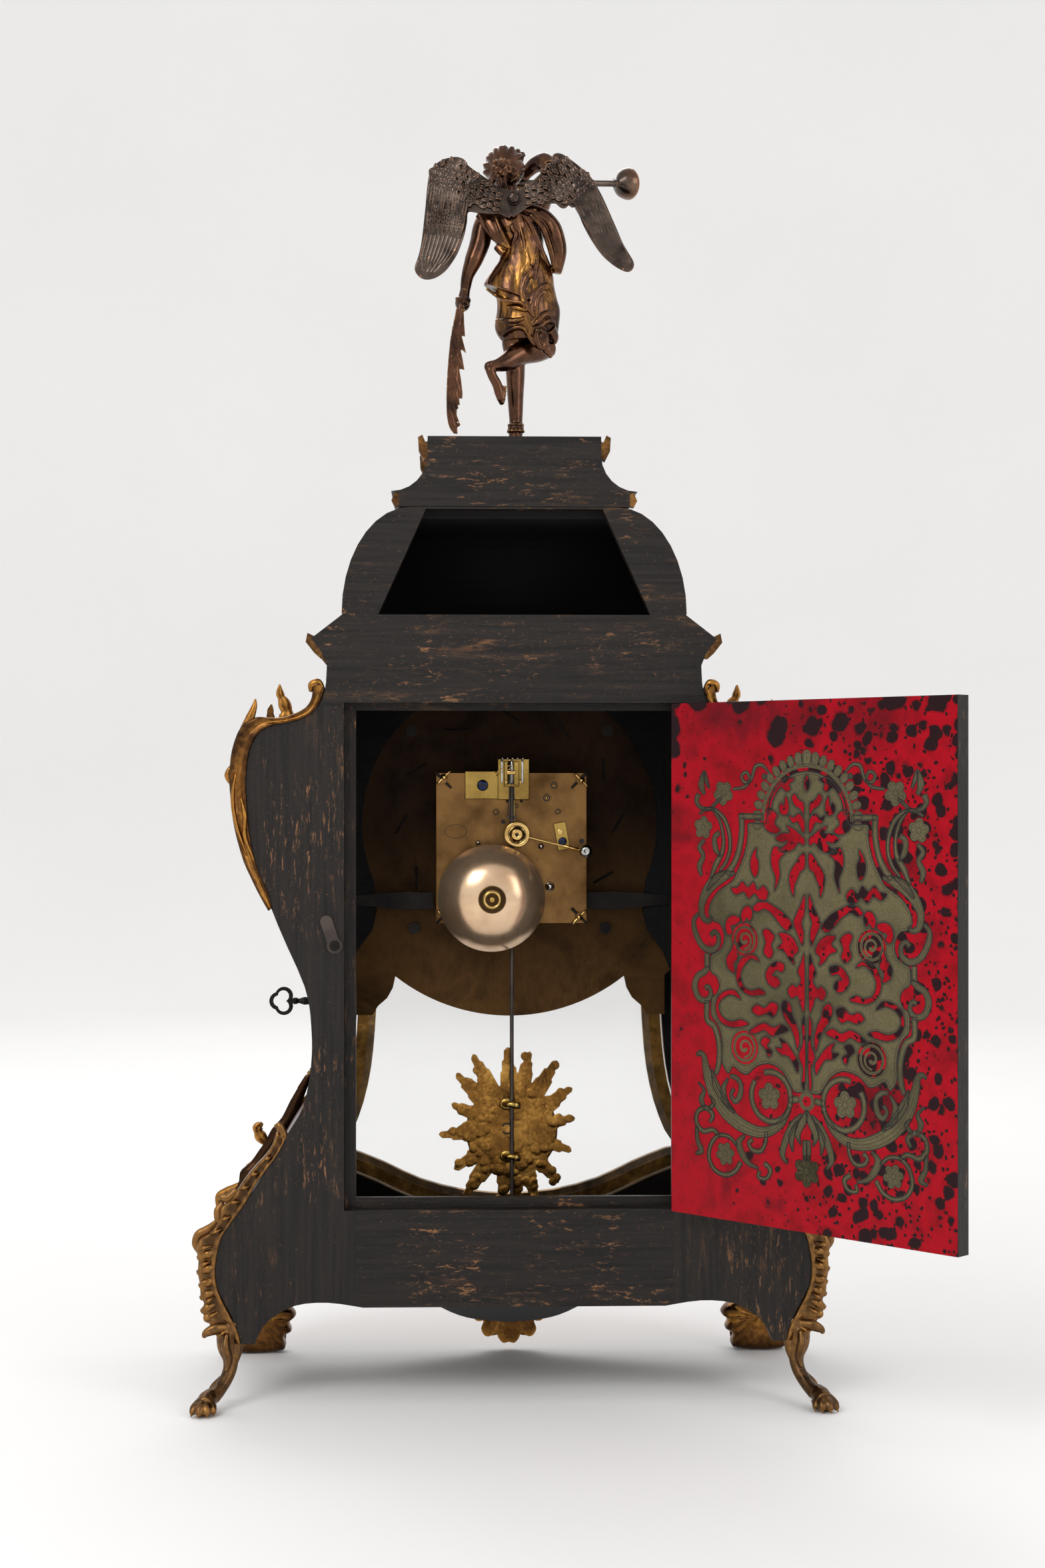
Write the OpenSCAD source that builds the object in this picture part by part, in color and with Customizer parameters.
// Boulle cartel clock seen from its open back. Millimetres, +Z up, origin on the floor under the case.
// The dial faces -Y and the back faces +Y.

/* [Case] */
// Depth of the case from the front face to the back face
case_depth = 195; // [190:1:200]
// Thickness of the front and back frames
frame_t = 20; // [18:1:22]
// Thickness of the side panels
wall_t = 7; // [6:0.5:8]
// Width of the back opening through its lip
opening_w = 262.4; // [256:0.2:264]
// Lower edge of the back opening
opening_low = 168; // [166:0.5:170]
// Upper edge of the back opening
opening_high = 572; // [568:0.5:574]
// Rebate round the back opening that the door shuts into
rebate = 9.3; // [8:0.1:10]

/* [Back door] */
// Thickness of the door with its veneer
door_t = 15; // [13:0.5:16]
// Angle that the door stands open at rest
door_open = 134; // [125:1:140]
// Gap round the shut door
door_gap = 1.2; // [1:0.1:1.5]
// Thickness of the tortoiseshell and brass veneer
veneer_t = 0.8; // [0.6:0.1:1]

/* [Dial and movement] */
// Height of the dial centre
dial_z = 476; // [475:0.5:477]
// Radius of the dial plate
dial_r = 164.5; // [162:0.5:164.5]
// Side of the square movement plates
plate_w = 130; // [128:1:132]
// Height of the centre of the movement plates
plate_z = 455.6; // [455:0.2:456]
// Radius of the bell
bell_r = 46; // [44:0.5:47]
// Radius of the pendulum rod
rod_r = 1.7; // [1.5:0.1:1.8]
// Height of the pendulum's pivot
pivot_z = 512; // [511:0.5:513]

/* [Figure] */
// Height of the crown top that the figure stands on
crown_top = 798; // [797:0.5:799]
// Distance of the figure from the case's middle, towards the back
figure_y = 30; // [25:1:35]
// How far the figure's drawing is raised, in mm
figure_rise = 2; // [0:0.5:3]

/* [Hidden] */
$fn = 48;
half_d = case_depth / 2;
back_y = half_d;
front_y = -half_d;
inner_back = back_y - frame_t;
inner_front = front_y + frame_t;
touch = 0.01;

// Outline of the case: distance from the middle and height, from the foot up to the horn
function base_pts() = [[124.7, 79.8], [153.8, 84], [180.4, 81.8], [200, 71.3], [208.6, 61.4], [213.5, 50.4]];
function side_pts() = [[225, 51.5], [232.6, 74], [244.3, 96.6], [246.4, 110.4], [240, 141.3], [216.8, 173.6],
    [188.6, 220], [174.3, 245], [167.6, 278], [167.3, 311], [172.7, 344], [194.8, 395], [216.3, 456],
    [221.6, 510], [217.6, 542], [202.7, 559], [181.7, 563], [164.6, 572], [156.4, 587], [154.6, 609]];
horn = [[158.5, 619], [167.5, 631], [142, 650.7]];
case_top = 650.7;
board_low = 640.7;
horn_cut = [154.9, board_low];
apron_pts = [[0, 28.4], [30, 31], [53, 37.8], [85, 55], [110, 70], [130, 80], [153.8, 84]];

// A smooth curve through points, with n steps to a span
function cr(a, b, c, d, t) = 0.5 * (2 * b + t * (c - a) + t * t * (2 * a - 5 * b + 4 * c - d)
    + t * t * t * (3 * b - a - 3 * c + d));
function smooth(p, n) = let (m = len(p) - 1) concat([for (i = [0:m - 1], k = [0:n - 1])
    cr(p[max(i - 1, 0)], p[i], p[i + 1], p[min(i + 2, m)], k / n)], [p[m]]);
function rev(p) = [for (i = [len(p) - 1:-1:0]) p[i]];
function flip(p) = [for (q = p) [-q[0], q[1]]];
function unit(v) = v / norm(v);
function normal_at(p, i) = let (d = unit(p[min(i + 1, len(p) - 1)] - p[max(i - 1, 0)])) [-d[1], d[0]];
function inset(p, t) = [for (i = [0:len(p) - 1]) p[i] + t * normal_at(p, i)];
function zone(p, lo, hi) = [for (q = p) if (q[1] >= lo && q[1] <= hi) q];
function ring_pt(r, a) = [r * cos(a), r * sin(a)];

side_line = smooth(side_pts(), 3);
inner_line = inset(side_line, wall_t);

// A flat shape drawn in X and Z, filled from y1 back to y2
module slab(y1, y2) translate([0, y2, 0]) rotate([90, 0, 0]) linear_extrude(y2 - y1) children();
module both() {
    children();
    mirror([1, 0, 0]) children();
}
// A round bar along Y from y1 to y2
module bar(x, z, r, y1, y2) translate([x, y1, z]) rotate([-90, 0, 0]) cylinder(r = r, h = y2 - y1);
// A blended limb between two points, drawn as a hull of two balls
module limb(a, b, ra, rb) hull() {
    translate(a) sphere(ra, $fn = 18);
    translate(b) sphere(rb, $fn = 18);
}

module back_outline() {
    half = concat(smooth(base_pts(), 3), [[222.6, 50.4]], side_line, horn);
    polygon(concat(half, rev(flip(half))));
}
module front_outline() {
    low = concat(smooth(apron_pts, 3), smooth([[153.8, 84], [180.4, 81.8], [200, 71.3], [213.5, 50.4]], 3));
    half = concat(low, [[222.6, 50.4]], side_line, horn);
    polygon(concat(half, rev(flip(half))));
}
// The space between the side panels
module inside() {
    half = concat([[218, 51.5]], [for (i = [1:len(inner_line) - 1]) inner_line[i]], [[147.5, board_low]]);
    polygon(concat(half, rev(flip(half))));
}

// Case
module back_frame() color([0.09, 0.08, 0.07]) difference() {
    slab(inner_back, back_y) back_outline();
    slab(inner_back - 1, back_y + 1) translate([-opening_w / 2, opening_low])
        square([opening_w, opening_high - opening_low]);
    slab(back_y - door_t, back_y + 1) translate([-opening_w / 2 - rebate, opening_low - 8.5])
        square([opening_w + 2 * rebate, opening_high - opening_low + 14.5]);
    bar(latch_x, latch_z, 2, back_y - 10, back_y + 1);
}
module side_panel() slab(inner_front, inner_back)
    polygon(concat(side_line, [horn[0], horn[1], horn_cut], [[147.5, board_low]],
        rev([for (i = [1:len(inner_line) - 1]) inner_line[i]]), [[218, 51.5]]));
module side_panel_left() color([0.13, 0.05, 0.04]) difference() {
    side_panel();
    translate([140, lock_y, lock_z]) rotate([0, 90, 0]) cylinder(r = 2.6, h = 40);
}
module side_panel_right() color([0.13, 0.05, 0.04]) mirror([1, 0, 0]) side_panel();
module front_frame() color([0.1, 0.08, 0.07]) difference() {
    slab(front_y, inner_front) front_outline();
    slab(front_y - 1, inner_front + 1) door_shape(door_edge + 0.8);
}
board_y = -49.5;
board_t = 10;
module dial_board() color([0.08, 0.07, 0.06]) slab(board_y - board_t, board_y) difference() {
    intersection() {
        inside();
        translate([-250, 330]) square([500, board_low - 330]);
    }
    translate([0, dial_z]) circle(131, $fn = 96);
    throat = [[100, 440], [121, 427], [118, 398.7], [122, 382], [136, 362.6], [143, 345], [145, 329]];
    polygon(concat(throat, rev(flip(throat))));
}
module top_board() color([0.08, 0.07, 0.06]) difference() {
    slab(inner_front, inner_back) polygon(concat([horn_cut, horn[2]], flip([horn[2], horn_cut])));
    translate([0, -10, board_low - 1]) cylinder(r = 48, h = 20);
}
module bottom_board() color([0.07, 0.06, 0.05]) slab(inner_front, inner_back) intersection() {
    inside();
    translate([-250, 84]) square([500, 10]);
}

// Crown: a hollow pagoda dome on the case, with an open back
dome_low = case_top;
dome_high = 740;
step_top = 751;
dome_rx = 56.5;
dome_rz = 88;
function dome_curve(grow) = [for (i = [0:9]) let (a = 90 * i / 9) [86 + (dome_rx + grow) * cos(a),
    dome_low + 0.8 + (dome_rz + grow) * sin(a)]];
function plinth_curve() = concat([[86, dome_high], [95.3, dome_high], [95.3, step_top]],
    [for (i = [0:6]) let (a = 270 - 90 * i / 6) [101.7, 782.5] + 30 * [cos(a), sin(a)]], [[71.7, crown_top]]);
module dome_solid(grow, low) intersection() {
    half = concat([[142.5 + grow, low]], dome_curve(grow), [[0, dome_high - 0.5 + grow]]);
    slab(front_y - 5, 83.5) polygon(concat(half, rev(flip(half))));
    rotate([90, 0, 90]) translate([0, 0, -150]) linear_extrude(300)
        polygon(concat([[back_y, low]], [for (q = half) [-q[0] + 45, q[1]]], [[back_y, dome_high + grow - 0.5]]));
}
module crown_dome() color([0.1, 0.07, 0.06]) difference() {
    dome_solid(0, case_top);
    dome_solid(-8, case_top - 5);
}
module crown_back_frame() color([0.09, 0.08, 0.07]) slab(83.5, back_y) difference() {
    half = concat([[142, case_top]], dome_curve(0), [[0, dome_high - 0.5]]);
    polygon(concat(half, rev(flip(half))));
    polygon([[-113, case_top - 1], [113, case_top - 1], [73, 738], [-73, 738]]);
}
module crown_plinth() color([0.09, 0.08, 0.07]) intersection() {
    half = plinth_curve();
    slab(front_y, back_y) polygon(concat(half, rev(flip(half))));
    rotate([90, 0, 90]) translate([0, 0, -150]) linear_extrude(300)
        polygon(concat([[back_y, dome_high]], [for (q = half) [-q[0] + 45, q[1]]], [[back_y, crown_top]]));
}
leaf_top = [[71.7, 780], [75, 778], [79, 786], [79.6, 797], [76, 799], [73.5, 793], [71.7, 794]];
leaf_step = [[95.3, 740.5], [99, 740], [101.5, 745], [98.5, 751.5], [95.3, 750.5]];
leaf_horn = [[158.5, 619], [167.5, 631], [165, 632.93], [170.5, 635.5], [172, 628], [165, 619], [160, 614.5],
    [156.3, 615]];
module crown_mounts() color("goldenrod") both() {
    slab(86, back_y) {
        polygon(leaf_top);
        polygon(leaf_step);
        polygon(leaf_horn);
    }
    slab(-26.7, -15) polygon(leaf_top);
    slab(-50, -38) polygon(leaf_step);
    slab(front_y, -84) polygon(leaf_horn);
}

// Gilt mounts on the case's corners
shoulder_out = [[200.5, 406.5], [203.5, 407], [212.3, 424], [223, 447.3], [228.3, 465.2], [233.3, 495.6],
    [234.8, 513.5], [237, 518], [234.4, 524], [232.6, 538.5], [228, 552.8], [222.6, 561.7], [217.1, 570.7],
    [214.4, 580], [210.8, 572.5], [210.8, 566.7], [203.7, 565.7], [192, 565.7], [181.2, 569], [172.2, 573.9],
    [167.8, 580.5], [167.4, 585], [168.9, 588.5], [168.9, 593], [166, 595.4], [160.5, 594.3], [156.6, 589.4]];
skirt_out = [[173, 256], [184, 248], [197, 223], [204, 213], [229.5, 202], [227, 190], [231, 179], [246, 168],
    [247, 150], [262.5, 135], [261, 112], [258.6, 91], [252.6, 70], [254, 60], [247, 54], [242, 47], [226, 50.8]];
rear_skirt_out = [[189.5, 221], [190.2, 226], [193.8, 230.6], [197, 229.7], [196.6, 224.2], [197.5, 217.8],
    [203, 208.7], [210.3, 202.3], [218.5, 193.2], [223, 183.1], [231.2, 171.3], [238.5, 170.7], [244, 169.5],
    [242.2, 164], [244, 157.6], [241.3, 154], [248.6, 143], [257.7, 140.3], [262.2, 135.7], [262.2, 128.5],
    [259.5, 120.2], [260, 110.2], [258.6, 97.4], [257.7, 89.2], [254.9, 84.6], [257.7, 78.3], [254.9, 73.7],
    [248.6, 64.5], [247, 54], [242, 47], [226, 50.8]];
module shoulder_mount() {
    line = zone(side_line, 411, 587.5);
    slab(84, back_y) polygon(concat(shoulder_out, rev(line)));
    slab(back_y, back_y + 2.5) polygon(concat(shoulder_out, rev(inset(line, 4))));
}
module rear_shoulder_mount_left() color("goldenrod") shoulder_mount();
module rear_shoulder_mount_right() color("goldenrod") mirror([1, 0, 0]) shoulder_mount();
paw = [252, 124, 8];
module rear_leg() {
    line = zone(side_line, 51, 220.5);
    slab(82, back_y) polygon(concat(rear_skirt_out, line));
    slab(back_y, back_y + 2.5) polygon(concat(rear_skirt_out, inset(line, 5)));
    difference() {
        union() {
            limb([238, 92, 52], [233, 94, 40], 9, 6);
            limb([233, 94, 40], [237, 106, 24], 6, 5.5);
            limb([237, 106, 24], [247, 118, 12], 5.5, 7.5);
            hull() {
                translate(paw) sphere(9, $fn = 18);
                translate(paw + [8, 10, -3]) sphere(7, $fn = 18);
                translate(paw + [-3, 4, -4]) sphere(8, $fn = 18);
            }
            limb([256, 88, 62], [233.5, 90, 56], 5, 6);
        }
        translate([150, 50, -40]) cube([150, 150, 40]);
    }
}
module rear_leg_left() color("darkgoldenrod") rear_leg();
module rear_leg_right() color("darkgoldenrod") mirror([1, 0, 0]) rear_leg();
module front_corner_mounts() color("goldenrod") both() {
    slab(front_y, -84) polygon(concat(shoulder_out, rev(zone(side_line, 411, 587.5))));
    slab(front_y, -84) polygon(concat(skirt_out, zone(side_line, 51, 247)));
    slab(-92, -87) polygon([[201, 563.6], [196, 575], [203, 590], [199, 598], [209, 603], [213, 590], [217, 584],
        [215, 580], [210, 567]]);
}
foot_lobes = [[242, 47], [256, 42], [252, 34], [256, 22], [247, 10], [248, 0], [206, 0], [200, 5], [203, 12],
    [196, 17], [199, 25], [193, 31], [198, 38], [204, 41], [206, 50.4], [222.6, 50.4], [226, 50.8]];
foot_leaf = [[208, 44], [211, 62], [222, 76], [236, 88], [246, 70], [243, 44]];
module front_foot() {
    slab(front_y, -82) polygon(foot_lobes);
    slab(front_y - 8, front_y) {
        polygon(foot_lobes);
        polygon(foot_leaf);
    }
}
module front_foot_left() color("darkgoldenrod") front_foot();
module front_foot_right() color("darkgoldenrod") mirror([1, 0, 0]) front_foot();
module apron_mount() color("darkgoldenrod") slab(front_y - 6, front_y) {
    half = [[0, 6], [9, 8], [12, 14], [20, 12], [27, 17], [24, 24], [31, 27], [38, 34], [30, 44], [34, 56], [18, 70],
        [14, 90], [6, 102], [0, 112]];
    polygon(concat(half, rev(flip(half))));
}

// Figure on the crown
module figure_body() color("saddlebrown") translate([0, figure_y, figure_rise]) {
    difference() {
        union() {
            translate([6, -2, 1036]) sphere(16, $fn = 24);
            limb([4, 0, 1024], [3, 1, 1006], 7, 9);
            hull() {
                translate([24, 0, 994]) sphere(8, $fn = 18);
                translate([-20, 0, 994]) sphere(9, $fn = 18);
                translate([0, 2, 955]) sphere(13, $fn = 18);
                translate([-14, 0, 955]) sphere(15, $fn = 18);
            }
            hull() {
                translate([-2, 2, 942]) sphere(14, $fn = 18);
                translate([-19, 0, 942]) sphere(16, $fn = 18);
                translate([-1, 6, 904]) sphere(15, $fn = 18);
                translate([-22, -2, 902]) sphere(17, $fn = 18);
            }
            hull() {
                translate([10, 2, 938]) sphere(10, $fn = 18);
                translate([-19, 0, 942]) sphere(16, $fn = 18);
                translate([0, 2, 922]) sphere(14, $fn = 18);
            }
            limb([-16, 3, 992], [-34, 7, 967], 8, 11);
            limb([-34, 7, 967], [-37, 6, 950], 11, 6);
            limb([24, 0, 992], [32, 3, 956], 8.5, 7.5);
            limb([32, 3, 956], [40.5, 3, 929], 7, 4.2);
            limb([42, 2, 924], [43, 2, 918], 6.4, 7);
            limb([-20, 0, 996], [-30, -14, 1042], 7.5, 6.5);
            limb([-30, -14, 1042], [-9, -32, 1030.5], 6.5, 4.8);
            limb([-1, -2, 898], [-2.6, 0, 857], 10, 8);
            limb([-2.6, 0, 857], [-3, 0, 810], 8, 5.4);
            limb([-3, 0, 801], [-6, -16, 799], 6, 4.5);
            limb([-18, -8, 886], [-4, 2, 876], 11, 9.5);
            limb([-4, 2, 876], [17, 16, 865], 9.5, 4.6);
            limb([17, 16, 865], [10, 13, 836], 4.8, 3.6);
        }
        translate([-50, -50, crown_top - figure_rise - 20]) cube([100, 100, 20]);
    }
}
wing_l = [[3, 1009], [12, 1012], [26, 1022], [39, 1032], [46, 1037.6], [54, 1037], [63, 1033], [70, 1019],
    [72.5, 1000], [75, 975], [82, 947], [80, 939.5], [71, 936], [61, 940], [50, 952], [42, 974], [38.5, 993],
    [26, 991.5], [11, 992], [2, 989.7]];
wing_r = [[2, 989.7], [-7, 994], [-15, 999], [-28, 1001], [-37, 1000], [-47, 999], [-54, 995], [-61, 981],
    [-76, 957.5], [-88, 947], [-97, 943.5], [-102, 948], [-92, 966], [-81, 991], [-71, 1013], [-58, 1029],
    [-44, 1039.6], [-37, 1041.6], [-33, 1036], [-24, 1025], [-13, 1015.5], [-4, 1010], [3, 1009]];
module figure_wings() color("dimgray") translate([0, 0, figure_rise]) {
    slab(figure_y + 17, figure_y + 22) {
        polygon(smooth(wing_l, 2));
        polygon(smooth(wing_r, 2));
    }
    box_at(-8, 6, figure_y + 5, figure_y + 17, 998, 1006);
}
module trumpet() color("saddlebrown") translate([2, figure_y - 24, 1028.5 + figure_rise])
    rotate([0, 0, 39.6]) rotate([0, -81, 0]) rotate_extrude() polygon([[0, 0], [2.4, 0], [2.7, 124], [4.6, 131],
        [8, 137], [14.2, 144], [13, 144], [7, 138.5], [0, 133]]);
frond_out = [[47.5, 914], [50.7, 895], [54.7, 867], [56.2, 840], [55.8, 821.5], [53.5, 812], [50, 807], [46.8, 807],
    [47, 813], [44.3, 814], [47.8, 824], [44.8, 831], [42.6, 838], [43.9, 853], [40.9, 861], [43.6, 874],
    [39.6, 875.5], [42.6, 888], [40.2, 889.5], [41.2, 900], [41.5, 912]];
module palm_frond() color("sienna") translate([0, 0, figure_rise])
    slab(figure_y + 6, figure_y + 8.5) polygon(frond_out);

// Back door, drawn shut and then swung open about its hinge
hinge_x = -opening_w / 2 - rebate + 0.5;
hinge_y = back_y + 2.4;
door_x0 = hinge_x + 0.7;
door_w = opening_w + 2 * rebate - 2 * door_gap;
door_low = opening_low - 7.5;
door_h = opening_high - opening_low + 12.5;
veneer_y = back_y - door_t + 0.4;
module swung(a) translate([hinge_x, hinge_y, 0]) rotate([0, 0, a]) translate([-hinge_x, -hinge_y, 0]) children();
module door_rect() translate([door_x0, door_low]) square([door_w, door_h]);
inlay_mid = [door_x0 + door_w / 2, door_low + door_h * 0.48];
// Half of the inlaid cartouche, from its foot to its arched top
frame_half = [[0, -128], [30, -134], [66, -118], [86, -92], [74, -62], [92, -30], [84, 8], [94, 40], [80, 76],
    [62, 92], [60, 116], [40, 142], [0, 154]];
module inlay_flat() translate(inlay_mid) {
    line = smooth(frame_half, 3);
    rim = inset(line, 9);
    difference() {
        polygon(concat(line, rev(flip(line))));
        polygon(concat(rim, rev(flip(rim))));
    }
    translate([-5, -132]) square([10, 282]);
    for (s = [-1, 1], z = [-70, 0, 70]) translate([s * 34, z]) difference() {
        circle(26);
        circle(17);
    }
}
module back_door_panel() color([0.1, 0.07, 0.06]) swung(door_open) slab(veneer_y + veneer_t, back_y) door_rect();
module door_shell_veneer() color("firebrick") swung(door_open) slab(veneer_y, veneer_y + veneer_t) difference() {
    door_rect();
    inlay_flat();
}
module door_brass_inlay() color([0.45, 0.4, 0.25]) swung(door_open) slab(veneer_y, veneer_y + veneer_t)
    inlay_flat();

// Hinges: knuckles on a pin, with a thin leaf on each side
knuckle_r = 2.2;
pin_r = 1;
run_gap = 0.05;
back_hinges = [200, 510];
front_hinges = [170, 466];
hinge_h = 40;
front_hinge_h = 20;
function mid(z, h) = z + h / 2;
module fixed_knuckle(x, y, z, h) translate([x, y, 0]) {
    translate([0, 0, z]) cylinder(r = knuckle_r, h = h / 2 - 0.1);
    translate([0, 0, z]) cylinder(r = pin_r, h = h + 1);
}
module moving_knuckle(x, y, z, h) translate([x, y, mid(z, h) + 0.1]) cylinder(r = knuckle_r, h = h / 2 - 0.1);
module pin_bore(x, y, z, h) translate([x, y, z - 2]) cylinder(r = pin_r + run_gap, h = h + 4);
module box_at(x0, x1, y0, y1, z0, z1) translate([x0, y0, z0]) cube([x1 - x0, y1 - y0, z1 - z0]);
module door_hinges() color("dimgray") {
    for (z = back_hinges) {
        fixed_knuckle(hinge_x, hinge_y, z, hinge_h);
        box_at(hinge_x - 0.5, hinge_x, back_y - 13, back_y - 0.2, z, z + hinge_h);
        box_at(hinge_x - 0.5, hinge_x, back_y - 0.3, hinge_y - 1, z, mid(z, hinge_h) - 0.1);
    }
    for (z = front_hinges) {
        fixed_knuckle(front_hinge_x, front_hinge_y, z, front_hinge_h);
        box_at(front_hinge_x - 18, front_hinge_x, front_y - 1.6, front_y, z, mid(z, front_hinge_h) - 0.1);
    }
}
module back_door_leaves() color("dimgray") swung(door_open) difference() {
    for (z = back_hinges) union() {
        moving_knuckle(hinge_x, hinge_y, z, hinge_h);
        box_at(hinge_x + 0.2, door_x0, back_y - 13, back_y - 0.2, z, z + hinge_h);
        box_at(hinge_x + 0.2, door_x0, back_y - 0.3, hinge_y - 1, mid(z, hinge_h) + 0.1, z + hinge_h);
    }
    for (z = back_hinges) pin_bore(hinge_x, hinge_y, z, hinge_h);
}
latch_x = 148;
latch_z = 378;
module turn_latch() color("dimgray") difference() {
    slab(back_y + 0.2, back_y + 2.4) translate([latch_x, latch_z]) rotate(-19) {
        circle(6.5);
        translate([-5, 0]) square([10, 21]);
        translate([0, 21]) circle(5);
    }
    bar(latch_x, latch_z, 2.05, back_y - 1, back_y + 4);
}
module screws_and_pins() color("slategray") {
    bar(latch_x, latch_z, 1.98, back_y - 9.5, back_y + 2.6);
    bar(latch_x, latch_z, 4.2, back_y + 2.6, back_y + 4);
    for (s = [-1, 1]) {
        bar(s * 87.5, 558.4, 5, board_y - board_t, board_y - board_t + 2);
        bar(s * 85, 383, 5, board_y - board_t, board_y - board_t + 2);
    }
    bar(-0.7, 1003.8 + figure_rise, 4.3, figure_y + 22, figure_y + 24.5);
    for (s = [-1, 1], t = [-1, 1]) pillar_pin(s, t);
    for (i = [0:11]) translate([0, dial_y + 1, dial_z]) rotate([0, 30 * i, 0]) translate([0, 0, 96])
        rotate([0, 60, 0]) cylinder(r = 1, h = 20, center = true, $fn = 24);
}

// Front door: a framed glass on its own hinges
door_edge = 16;
front_door_y = front_y - 1;
front_door_t = 12;
front_hinge_x = -169;
front_hinge_y = front_door_y - 2.6;
glass_low = [[0, 141], [40, 144.5], [80, 155], [112, 170], [142, 182], [150, 184], [141, 198], [131, 225],
    [124.4, 256], [121, 290], [119, 330], [119, 370], [122, 400]];
module door_shape(grow) {
    line = smooth(glass_low, 2);
    edge = inset(line, -grow);
    translate([0, dial_z]) circle(140 + grow, $fn = 96);
    polygon(concat([[0, edge[0][1]]], edge, [[100, dial_z], [-100, dial_z]], rev(flip(edge))));
}
module front_door_frame() color([0.5, 0.38, 0.14]) {
    difference() {
        slab(front_door_y, front_door_y + front_door_t) door_shape(door_edge);
        slab(front_door_y - 1, front_door_y + front_door_t + 1) door_shape(0);
        slab(front_door_y + 8, front_door_y + front_door_t + 1) door_shape(6);
    }
    difference() {
        for (z = front_hinges) union() {
            moving_knuckle(front_hinge_x, front_hinge_y, z, front_hinge_h);
            box_at(front_hinge_x, -150, front_door_y - 1.6, front_door_y, mid(z, front_hinge_h) + 0.1,
                z + front_hinge_h);
        }
        for (z = front_hinges) pin_bore(front_hinge_x, front_hinge_y, z, front_hinge_h);
    }
    box_at(125.5, 132.5, front_door_y + front_door_t, -71, 352, 358);
    box_at(125.5, 132.5, -74, -71, 346.5, 352.5);
}
module front_door_glass() color([0.8, 0.9, 0.9, 0.3]) slab(front_door_y + 8, front_door_y + 10.5) door_shape(5.95);

// Front door lock, worked by the key in the side
lock_y = -67;
lock_z = 318;
module lock_case() color("dimgray") difference() {
    box_at(139, 158, inner_front, dial_y, 300, 340);
    box_at(140.6, 150.4, inner_front - 1, -74.2, 299, 341);
    box_at(138, 150.4, inner_front - 1, -74.2, 334.6, 341);
    translate([151.5, lock_y, lock_z]) rotate([0, 90, 0]) cylinder(r = 6.5, h = 5);
    translate([150, lock_y, lock_z]) rotate([0, 90, 0]) cylinder(r = 2.05, h = 10);
}
module lock_bolt() color("gray") slab(-77, -74.5) {
    translate([141, 303]) square([9, 30]);
    translate([126, 335]) square([24, 8]);
    translate([141, 330]) square([9, 10]);
    translate([126, 335]) square([6, 10.5]);
}
module lock_key() color([0.2, 0.17, 0.14]) {
    translate([151.9, lock_y, lock_z]) rotate([0, 90, 0]) rotate_extrude() polygon([[0, 0], [2, 0], [2, 20],
        [3.4, 21.5], [3.4, 23.5], [2, 25], [3.2, 27], [3.6, 31], [2, 36], [3, 38], [3, 40], [1.8, 42], [0, 43]]);
    box_at(152, 156, lock_y - 1, lock_y + 1, lock_z - 5.8, lock_z);
    slab(lock_y - 1.4, lock_y + 1.4) difference() {
        union() {
            translate([201, lock_z + 4.5]) circle(8);
            translate([201, lock_z - 4.5]) circle(8);
            translate([206, lock_z]) circle(8);
        }
        translate([201.5, lock_z + 4.5]) circle(5);
        translate([201.5, lock_z - 4.5]) circle(5);
        translate([205.5, lock_z]) circle(5);
    }
}

// Dial and what fixes it
dial_y = board_y - board_t;
winding = [[-32, 430], [32, 430]];
// How far the plate's disc sits below the middle of the hands
plate_drop = 6.5;
module dial_plate() color([0.5, 0.38, 0.15]) difference() {
    union() {
        slab(dial_y - 2.5, dial_y) {
            translate([0, dial_z - plate_drop]) circle(dial_r, $fn = 120);
            ear = [[101.6, 341], [104, 330], [109, 321], [117, 314], [122, 306], [138, 306], [138, 341], [150, 352], [150, 400],
                [90, 400]];
            polygon(ear);
            polygon(flip(ear));
        }
        for (s = [-1, 1], z = [404, 506]) bar(s * 54, z, 3, dial_y, -51.5);
    }
    bar(0, dial_z, 5, dial_y - 4, dial_y + 1);
    for (w = winding) bar(w[0], w[1], 4, dial_y - 4, dial_y + 1);
}
module dial_cartouches() color("ivory") {
    for (i = [0:11]) slab(dial_y - 6, dial_y - 2.5) translate([0, dial_z]) rotate(30 * i)
        translate([0, 112]) difference() {
            circle(19);
            translate([-20, -22]) square([40, 6]);
        }
    difference() {
        slab(dial_y - 5, dial_y - 2.5) translate([0, dial_z]) circle(62, $fn = 72);
        bar(0, dial_z, 5, dial_y - 8, dial_y);
        for (w = winding) bar(w[0], w[1], 4, dial_y - 8, dial_y);
    }
}
module movement_straps() color([0.25, 0.22, 0.18]) both() {
    slab(board_y, board_y + 2) polygon([[68, 401], [92, 400], [146, 405], [146, 412], [92, 416], [68, 415]]);
    bar(80, 408, 4, dial_y, board_y);
}

// Movement: plates, pillars and trains. Gap between the plates from mid_front to mid_back
plate_t = 3.5;
back_plate_y = -2.5;
mid_back = back_plate_y - plate_t;
mid_front = -48;
pivot_r = 0.8;
function involute(a) = tan(a) * 180 / PI - a;
pressure = 25;
backlash = 0.05;
function gear_pts(n, m) = let (r = n * m / 2, rb = r * cos(pressure), ra = r + 0.9 * m, rr = r - 1.15 * m,
    thick = 90 / n - backlash / r * 180 / PI + involute(pressure),
    radii = [max(rb, rr), (max(rb, rr) + r) / 2, (r + ra) / 2, ra],
    edge = [for (q = radii) [q, thick - involute(acos(min(1, rb / q)))]],
    side = concat([[rr, edge[0][1] + 0.2]], edge))
    [for (i = [0:n - 1], s = [-1, 1], k = [0:4]) let (q = side[s < 0 ? k : 4 - k])
        ring_pt(q[0], 360 * i / n + s * q[1])];
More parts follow.
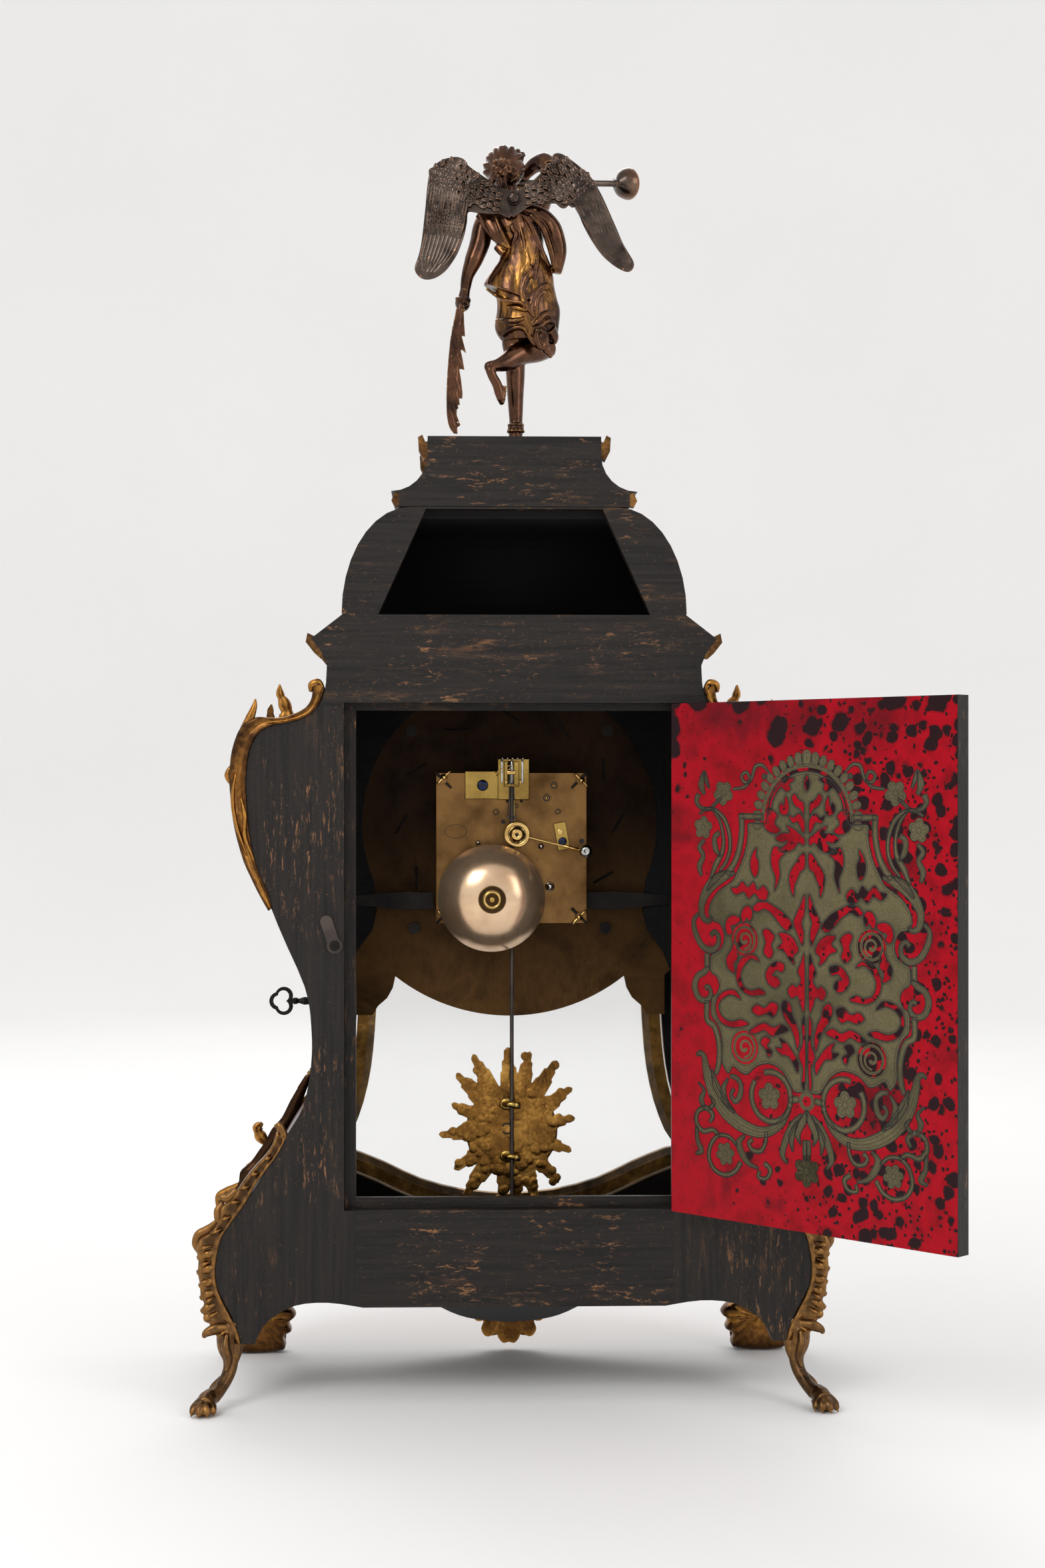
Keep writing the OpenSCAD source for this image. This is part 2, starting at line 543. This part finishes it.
// A wheel or pinion at a place, turned to a phase, between y1 and y2
module gear(at, n, m, phase, y1, y2) slab(y1, y2) translate(at) rotate(phase) polygon(gear_pts(n, m));
module arbor(at, r, y1, y2) {
    bar(at[0], at[1], r, y1, y2);
    bar(at[0], at[1], pivot_r, mid_front - 2.5, mid_back + 2.5);
}
// Phase of a gear b that meshes with gear a
function mesh(pa, pb, na, nb, phase_a) = let (v = pb - pa, a = atan2(v[1], v[0]))
    a + 180 + 180 / nb - (phase_a - a) * na / nb;
// The place at distances ra from a and rb from b, on the side given by s
function reach(a, b, ra, rb, s) = let (v = b - a, d = norm(v), u = v / d, x = (ra * ra - rb * rb + d * d) / 2 / d,
    h = sqrt(ra * ra - x * x)) a + x * u + s * h * [-u[1], u[0]];
centre = [0, dial_z];
going_at = [-32, 430];
strike_at = [32, 430];
inter_at = reach(going_at, centre, (72 + 12) * 0.4, (60 + 12) * 0.35, 1);
escape_at = [0, 497.5];
third_at = reach(centre, escape_at, (56 + 12) * 0.3, (60 + 12) * 0.25, -1);
pin_at = reach(strike_at, centre, (72 + 12) * 0.4, 25.2, -1);
warn_at = pin_at + 21.6 * [cos(15), sin(15)];
fly_at = warn_at + 15 * [cos(80), sin(80)];
minute_at = centre + 18 * [cos(225), sin(225)];
hammer_at = [-4.3, 467.6];
centre_ph = 0;
inter_ph = mesh(centre, inter_at, 12, 60, centre_ph);
going_ph = mesh(inter_at, going_at, 12, 72, inter_ph);
third_ph = mesh(centre, third_at, 56, 12, centre_ph);
escape_ph = mesh(third_at, escape_at, 60, 12, third_ph);
minute_ph = mesh(centre, minute_at, 12, 36, centre_ph);
hour_ph = mesh(minute_at, centre, 10, 40, minute_ph);
pin_ph = mesh(strike_at, pin_at, 72, 12, 0);
warn_ph = mesh(pin_at, warn_at, 60, 12, pin_ph);
fly_ph = mesh(warn_at, fly_at, 48, 12, warn_ph);
through = [inter_at, third_at, escape_at, pin_at, warn_at, fly_at];
module plate_square() translate([-plate_w / 2, plate_z - plate_w / 2]) square(plate_w);
module plate_holes(y1, y2) for (p = through) bar(p[0], p[1], pivot_r + run_gap, y1, y2);
pillar_off = 58.5;
module pillar_bars(r, y1, y2) for (s = [-1, 1], t = [-1, 1])
    bar(s * pillar_off, plate_z + t * pillar_off, r, y1, y2);
module front_plate() color([0.72, 0.55, 0.25]) {
    difference() {
        slab(mid_front - plate_t, mid_front) plate_square();
        plate_holes(mid_front - 5, mid_front + 1);
        bar(0, dial_z, 1.55, mid_front - 5, mid_front + 1);
        bar(0, pivot_z, pivot_r + run_gap, mid_front - 5, mid_front + 1);
        for (w = winding) bar(w[0], w[1], 3.05, mid_front - 5, mid_front + 1);
    }
    bar(minute_at[0], minute_at[1], 1.5, mid_front - plate_t - 6.3, mid_front - plate_t);
}
module back_plate() color([0.78, 0.62, 0.33]) difference() {
    slab(mid_back, back_plate_y) plate_square();
    plate_holes(mid_back - 1, back_plate_y + 1);
    bar(0, dial_z, pivot_r + run_gap, mid_back - 1, back_plate_y + 1);
    bar(0, pivot_z, 3, mid_back - 1, back_plate_y + 1);
    for (w = winding) bar(w[0], w[1], 2.05, mid_back - 1, back_plate_y + 1);
    bar(hammer_at[0], hammer_at[1], 2.05, mid_back - 1, back_plate_y + 1);
    pillar_bars(2.5, mid_back - 1, back_plate_y + 1);
}
module plate_pillars() color([0.7, 0.52, 0.24]) {
    pillar_bars(4.5, mid_front, mid_back);
    difference() {
        pillar_bars(2.5, mid_back, back_plate_y + 5);
        for (s = [-1, 1], t = [-1, 1]) pillar_pin(s, t);
    }
}
module pillar_pin(s, t) translate([s * pillar_off, back_plate_y + 2.6, plate_z + t * pillar_off])
    rotate([0, s * t * 45, 0]) cylinder(r1 = 1, r2 = 1.3, h = 18, center = true, $fn = 24);
crutch_y = 5.5;
module back_cock() color([0.75, 0.6, 0.32]) difference() {
    union() {
        box_at(10.1, 40.2, back_plate_y, back_plate_y + 3.5, 498.2, 522.2);
        box_at(-15.3, 12, back_plate_y + 3.5, back_plate_y + 6.5, 497.6, 532.9);
        box_at(10.1, 14, back_plate_y, back_plate_y + 6.5, 498.2, 522.2);
        box_at(-15.3, -11, back_plate_y, back_plate_y + 4, 499, 519);
        box_at(-6, 6, back_plate_y + 6.5, 14, 517.5, 530);
        bar(25, 510, 4.6, back_plate_y + 3.5, back_plate_y + 5.4);
    }
    bar(0, pivot_z, 1.05, back_plate_y - 1, back_plate_y + 8);
    box_at(-0.8, 0.8, 7, 15, 516, 524);
}
bell_at = [17.6, 413.4];
bell_rim_y = 21.5;
bell_h = 30;
function bell_wall(r, h) = [for (i = [0:10]) let (a = 90 * i / 10) [r * cos(a) ^ 0.72, h * sin(a)]];
module bell() color([0.86, 0.7, 0.5]) translate([bell_at[0], bell_rim_y, bell_at[1]]) rotate([-90, 0, 0])
    rotate_extrude($fn = 96) polygon(concat([for (q = bell_wall(bell_r, bell_h)) [max(q[0], 3.5), q[1]]],
        rev([for (q = bell_wall(bell_r - 1.8, bell_h - 1.8)) [max(q[0], 3.5), q[1]]])));
module bell_stand() color([0.7, 0.55, 0.28]) {
    top = bell_rim_y + bell_h;
    bar(bell_at[0], bell_at[1], 4.5, back_plate_y, top - 1.8);
    bar(bell_at[0], bell_at[1], 3.5, top - 1.8, top);
    bar(bell_at[0], bell_at[1], 11, top, top + 1);
    bar(bell_at[0], bell_at[1], 8, top + 1, top + 2.6);
    bar(bell_at[0], bell_at[1], 2, top + 2.6, top + 4.5);
}

// Pendulum, crutch and hammer
pend_y = 10;
bob_z = 212;
module pendulum_rod() color([0.25, 0.24, 0.23]) {
    box_at(-0.2, 0.2, pend_y - 1.7, pend_y + 1.7, 507, 519.5);
    bar_z(rod_r, 474, 508);
    slab(pend_y - rod_r, pend_y + rod_r) translate([0, hammer_at[1]]) difference() {
        translate([-4.3, 0]) circle(9.5);
        translate([-4.3, 0]) circle(7);
    }
    bar_z(rod_r, 150, 461);
}
module bar_z(r, z1, z2) translate([0, pend_y, z1]) cylinder(r = r, h = z2 - z1);
// Rays of the sunburst: angle and reach of the tip
rays = [[93, 72], [77, 70], [57, 72], [35, 64], [11, 56], [-19, 55], [-48, 61], [-70, 66], [-85, 64], [-98, 64],
    [-126, 71], [-146, 60], [-177, 63], [156, 57], [134, 69], [117, 74]];
module sunburst() for (t = rays) let (r = t[1]) rotate(180 - t[0]) polygon([[20, -10], [r - 22, -8.6], [r - 20, -6.4],
    [r - 12, -6], [r - 10.6, -4], [r - 3, -3.5], [r - 1, -1.6], [r, 0.5], [r - 2, 2.6], [r - 8, 3.2], [r - 9.6, 5.2],
    [r - 16, 5.8], [r - 18, 8], [20, 10]]);
module pendulum_bob() color([0.6, 0.45, 0.18]) {
    slab(3.5, 6.5) translate([0, bob_z]) {
        sunburst();
        circle(42);
    }
    difference() {
        for (z = [bob_z + 23, bob_z - 22]) union() {
            box_at(-5, 8, 6.5, 13.5, z - 3.5, z + 3.5);
            bar(6, z, 1.8, 13.5, 15);
        }
        bar_z(rod_r + 0.02, 150, 300);
    }
}
module anchor_crutch() color([0.4, 0.38, 0.35]) {
    bar(0, pivot_z, pivot_r, mid_front - 2.5, mid_front + 1);
    bar(0, pivot_z, 1, mid_front + 0.5, 7);
    slab(-20.4, -18.4) polygon([[-2, 514], [2, 514], [10, 507], [10.6, 503.8], [8.8, 504.4], [1.6, 509.6],
        [-1.6, 509.6], [-8.8, 504.4], [-10.6, 503.8], [-10, 507]]);
    slab(crutch_y, 7) polygon([[-2.4, 514.4], [2.4, 514.4], [2.2, 505], [3.5, 483], [3.5, 481], [-3.5, 481],
        [-3.5, 483], [-2.2, 505]]);
    difference() {
        box_at(-3.6, 3.6, 7, 12.5, 481, 483.5);
        box_at(-rod_r - 0.1, rod_r + 0.1, 7.5, 13, 480, 485);
    }
}
hammer_ball = [-63, 24, 453.7];
module hammer() color([0.75, 0.6, 0.35]) {
    bar(hammer_at[0], hammer_at[1], 2, -8.5, 13.5);
    bar(hammer_at[0], hammer_at[1], 10.8, 13, 15);
    bar(hammer_at[0], hammer_at[1], 5.4, 14.5, 16.5);
    slab(13.4, 14.6) polygon([[-6, 466.2], [-6, 470], [-58, 456.2], [-64.2, 455.2], [-64.2, 452.2], [-58, 453.4]]);
    bar(hammer_ball[0], hammer_ball[2], 1, 14, hammer_ball[1] - 3);
    translate(hammer_ball) sphere(5.7, $fn = 32);
    slab(-8.5, -7.1) translate(hammer_at) rotate(-40) translate([0, -1.5]) square([19, 3]);
}

// Trains
module barrel(at, ph) {
    gear(at, 72, 0.8, ph, -44, -42);
    bar(at[0], at[1], 26, -42, -18);
    bar(at[0], at[1], 3, -65, -42);
    bar(at[0], at[1], 2, -18, -3.5);
    slab(-66.5, -65) translate(at) rotate(ph) square(3.8, center = true);
}
module going_barrel() color([0.72, 0.56, 0.26]) barrel(going_at, going_ph);
module strike_barrel() color([0.72, 0.56, 0.26]) barrel(strike_at, 0);
module intermediate_wheel() color([0.74, 0.58, 0.28]) {
    gear(inter_at, 12, 0.8, inter_ph, -45.5, -41.4);
    gear(inter_at, 60, 0.7, inter_ph, -12, -10.2);
    arbor(inter_at, 1.3, mid_front + 0.5, mid_back - 0.5);
}
module centre_wheel() color([0.74, 0.58, 0.28]) {
    gear(centre, 12, 0.7, centre_ph, -13.4, -8.8);
    gear(centre, 56, 0.6, centre_ph, -38, -36.4);
    gear(centre, 12, 0.75, centre_ph, -54, -52);
    bar(0, dial_z, 1.5, -79, mid_back - 0.5);
    bar(0, dial_z, pivot_r, mid_back - 1, mid_back + 2.5);
    bar(0, dial_z, 2.6, -76, -54);
}
module third_wheel() color([0.74, 0.58, 0.28]) {
    gear(third_at, 12, 0.6, third_ph, -39.5, -34.9);
    gear(third_at, 60, 0.5, third_ph, -30, -28.6);
    arbor(third_at, 1.3, mid_front + 0.5, mid_back - 0.5);
}
module escape_wheel() color([0.74, 0.58, 0.28]) {
    gear(escape_at, 12, 0.5, escape_ph, -31.5, -27.1);
    slab(-20, -18.8) translate(escape_at) for (i = [0:29]) rotate(12 * i) polygon([[0, -0.9], [7.6, -0.9],
        [9.4, 0.3], [9.4, 0.5], [7.6, 0.9], [0, 0.9]]);
    arbor(escape_at, 1.1, mid_front + 0.5, mid_back - 0.5);
}
module minute_wheel() color([0.74, 0.58, 0.28]) difference() {
    union() {
        gear(minute_at, 36, 0.75, minute_ph, -54, -52);
        gear(minute_at, 10, 0.72, minute_ph, -57.5, -54);
    }
    bar(minute_at[0], minute_at[1], 1.55, -60, -50);
}
module hour_wheel() color([0.2, 0.25, 0.4]) difference() {
    union() {
        gear(centre, 40, 0.72, hour_ph, -57, -55);
        bar(0, dial_z, 4.2, -72, -55);
        slab(-73, -71.6) translate(centre) rotate(-52) hand(70, 9);
    }
    bar(0, dial_z, 2.65, -80, -50);
}
module hand(l, w) {
    circle(6);
    polygon([[-2.5, -18], [2.5, -18], [1.8, 0], [1.5, l * 0.5], [w / 2, l * 0.62], [1.6, l * 0.78], [0.4, l],
        [-0.4, l], [-1.6, l * 0.78], [-w / 2, l * 0.62], [-1.5, l * 0.5], [-1.8, 0]]);
}
module minute_hand() color([0.2, 0.25, 0.4]) difference() {
    slab(-77.4, -76) translate(centre) rotate(60) hand(102, 8);
    bar(0, dial_z, 1.52, -80, -70);
}
module pin_wheel() color([0.74, 0.58, 0.28]) {
    gear(pin_at, 12, 0.8, pin_ph, -45.5, -41.4);
    gear(pin_at, 60, 0.6, pin_ph, -16, -14.4);
    for (i = [0:9]) bar(pin_at[0] + 14 * cos(36 * i), pin_at[1] + 14 * sin(36 * i), 0.6, -14.4, -12.7);
    arbor(pin_at, 1.2, mid_front + 0.5, mid_back - 0.5);
}
module warning_wheel() color([0.74, 0.58, 0.28]) {
    gear(warn_at, 12, 0.6, warn_ph, -17, -13.4);
    gear(warn_at, 48, 0.5, warn_ph, -10.6, -9.1);
    arbor(warn_at, 1.2, mid_front + 0.5, mid_back - 0.5);
}
module fly() color([0.74, 0.58, 0.28]) {
    gear(fly_at, 12, 0.5, fly_ph, -11.6, -8.1);
    slab(-36, -14) translate(fly_at) rotate(35) translate([-9, -0.4]) square([18, 0.8]);
    arbor(fly_at, 1.1, mid_front + 0.5, mid_back - 0.5);
}

back_frame();
side_panel_left();
side_panel_right();
front_frame();
dial_board();
top_board();
bottom_board();
crown_back_frame();
crown_dome();
crown_plinth();
crown_mounts();
front_corner_mounts();
rear_shoulder_mount_left();
rear_shoulder_mount_right();
rear_leg_left();
rear_leg_right();
front_foot_left();
front_foot_right();
apron_mount();
figure_body();
figure_wings();
trumpet();
palm_frond();
door_hinges();
lock_case();
screws_and_pins();
dial_plate();
dial_cartouches();
movement_straps();
front_plate();
back_plate();
plate_pillars();
back_cock();
bell();
bell_stand();
back_door_panel();
door_shell_veneer();
door_brass_inlay();
back_door_leaves();
turn_latch();
front_door_frame();
front_door_glass();
lock_key();
lock_bolt();
pendulum_rod();
pendulum_bob();
anchor_crutch();
going_barrel();
intermediate_wheel();
centre_wheel();
minute_hand();
third_wheel();
escape_wheel();
minute_wheel();
hour_wheel();
strike_barrel();
pin_wheel();
warning_wheel();
fly();
hammer();
